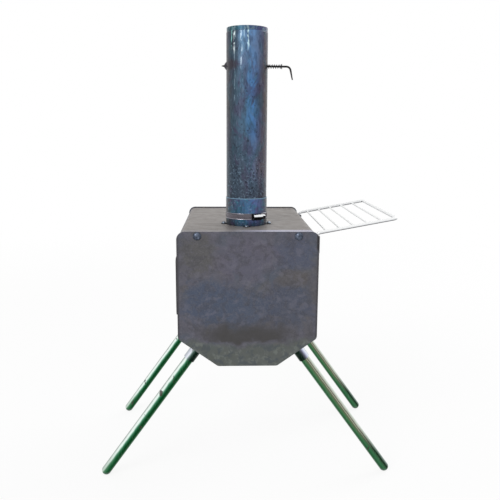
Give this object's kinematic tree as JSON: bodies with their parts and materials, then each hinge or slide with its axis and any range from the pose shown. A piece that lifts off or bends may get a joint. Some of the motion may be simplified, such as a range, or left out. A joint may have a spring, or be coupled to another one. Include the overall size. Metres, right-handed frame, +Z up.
{
  "type": "tent wood stove",
  "caption": "Small sheet steel wood stove for tents on four splayed plug-in legs, with a short flue pipe and damper, a side rack, a hinged door and an air slide",
  "frame": {"origin": "Middle of the bottom of the whole stove's box, on the ground between the four feet", "axes": "+Z up along the flue; +Y from the plain rear plate towards the door; +X to the side with the rack, to the right when seen from behind the rear plate"},
  "size_m": [0.4698, 0.3641, 0.7033],
  "materials": {
    "plate_steel": "Hot-rolled mild steel sheet with its mill scale, mottled violet-grey and blue-grey, browned by heat",
    "wrap_steel": "Folded mild steel sheet, beige-grey on top with faint streaks",
    "weld_steel": "Plain mild steel parts, welded on and darkened by heat",
    "sooty_steel": "Steel sheet in the fire, dull and sooty",
    "door_steel": "Hot-rolled mild steel sheet with its mill scale",
    "blued_pipe": "Thin steel pipe, heat-blued, with teal, blue and violet patches and dark spots",
    "blued_collar": "Thin steel collar, brightly heat-blued",
    "stainless_tube": "Polished stainless tube",
    "stainless_wire": "Polished stainless wire",
    "clamp_steel": "Rolled stainless strip and pressed housing",
    "black_rod": "Blackened steel rod",
    "damper_iron": "Cast iron, dark grey",
    "spring_steel": "Drawn spring wire",
    "screw_steel": "Blued steel screws with turned heads",
    "zinc_steel": "Zinc-plated steel fasteners",
    "lever_steel": "Flat steel bar, heat-darkened",
    "frame_steel": "Folded mild steel sheet frame, plain and heat-darkened",
    "fire_glass": "Clear heat-proof glass with a faint amber tint and smoke haze",
    "rope_gasket": "Flat woven glass fibre gasket"
  },
  "bodies": {
    "stove": {"body_wrap": "wrap_steel", "rear_plate": "plate_steel", "front_plate": "plate_steel", "corner_blocks": "weld_steel", "rear_plate_screws": "screw_steel", "front_plate_screws": "screw_steel", "leg_sockets": "stainless_tube", "rack_sockets": "weld_steel", "window_frame": "frame_steel", "window_glass": "fire_glass", "window_gasket": "rope_gasket", "window_screws": "zinc_steel", "window_nuts": "zinc_steel", "grate": "sooty_steel", "baffle": "sooty_steel", "flue_collar": "blued_collar", "collar_screws": "zinc_steel", "collar_nuts": "zinc_steel", "clamp_band": "clamp_steel", "clamp_housing": "clamp_steel", "frame_knuckles": "weld_steel", "hinge_pins": "zinc_steel", "latch_keeper": "weld_steel", "air_guides": "weld_steel"},
    "worm_screw": {"clamp_screw": "clamp_steel"},
    "flue": {"flue_pipe": "blued_pipe"},
    "damper": {"damper_rod": "black_rod", "damper_plate": "damper_iron", "damper_lock_pins": "black_rod", "damper_spring": "spring_steel", "damper_washer": "black_rod"},
    "side_rack": {"rack_frame": "stainless_wire", "rack_wires": "stainless_wire"},
    "door": {"door_panel": "door_steel", "door_hinges": "weld_steel", "door_rivets": "zinc_steel", "latch_bolt": "zinc_steel", "latch_nut": "zinc_steel"},
    "latch": {"latch_lever": "lever_steel", "latch_grip_core": "lever_steel", "latch_grip_coil": "spring_steel", "latch_grip_nut": "zinc_steel"},
    "air_control": {"air_slide": "door_steel", "air_knob": "zinc_steel"},
    "rear_left_leg": {"leg_rear_left": "stainless_tube", "foot_rear_left": "stainless_tube"},
    "rear_right_leg": {"leg_rear_right": "stainless_tube", "foot_rear_right": "stainless_tube"},
    "front_left_leg": {"leg_front_left": "stainless_tube", "foot_front_left": "stainless_tube"},
    "front_right_leg": {"leg_front_right": "stainless_tube", "foot_front_right": "stainless_tube"}
  },
  "joints": [
    {"name": "pipe_lift", "type": "slide", "parent": "stove", "child": "flue", "axis": [0, 0, 1], "range_m": [0, 0.0435]},
    {"name": "damper_turn", "type": "hinge", "parent": "flue", "child": "damper", "pos_m": [0, -0.0835, 0.648], "axis": [1, 0, 0], "continuous": true},
    {"name": "rack_lift", "type": "slide", "parent": "stove", "child": "side_rack", "axis": [0, 0, 1], "range_m": [0, 0.024]},
    {"name": "door_swing", "type": "hinge", "parent": "stove", "child": "door", "pos_m": [-0.071, 0.1275, 0.308], "axis": [0, 0, 1], "range_deg": [0, 150]},
    {"name": "latch_turn", "type": "hinge", "parent": "door", "child": "latch", "pos_m": [0.052, 0.1291, 0.308], "axis": [0, 1, 0], "range_deg": [0, 60]},
    {"name": "air_slide_move", "type": "slide", "parent": "stove", "child": "air_control", "axis": [1, 0, 0], "range_m": [0, 0.012]},
    {"name": "clamp_screw_turn", "type": "hinge", "parent": "stove", "child": "worm_screw", "pos_m": [0.01639, -0.1171, 0.4192], "axis": [0.8988, 0.4384, 0], "continuous": true},
    {"name": "rear_left_leg_pull", "type": "slide", "parent": "stove", "child": "rear_left_leg", "axis": [-0.5825, 0, -0.8128], "range_m": [0, 0.03]},
    {"name": "rear_right_leg_pull", "type": "slide", "parent": "stove", "child": "rear_right_leg", "axis": [0.5825, 0, -0.8128], "range_m": [0, 0.03]},
    {"name": "front_left_leg_pull", "type": "slide", "parent": "stove", "child": "front_left_leg", "axis": [-0.5825, 0, -0.8128], "range_m": [0, 0.03]},
    {"name": "front_right_leg_pull", "type": "slide", "parent": "stove", "child": "front_right_leg", "axis": [0.5825, 0, -0.8128], "range_m": [0, 0.03]}
  ]
}
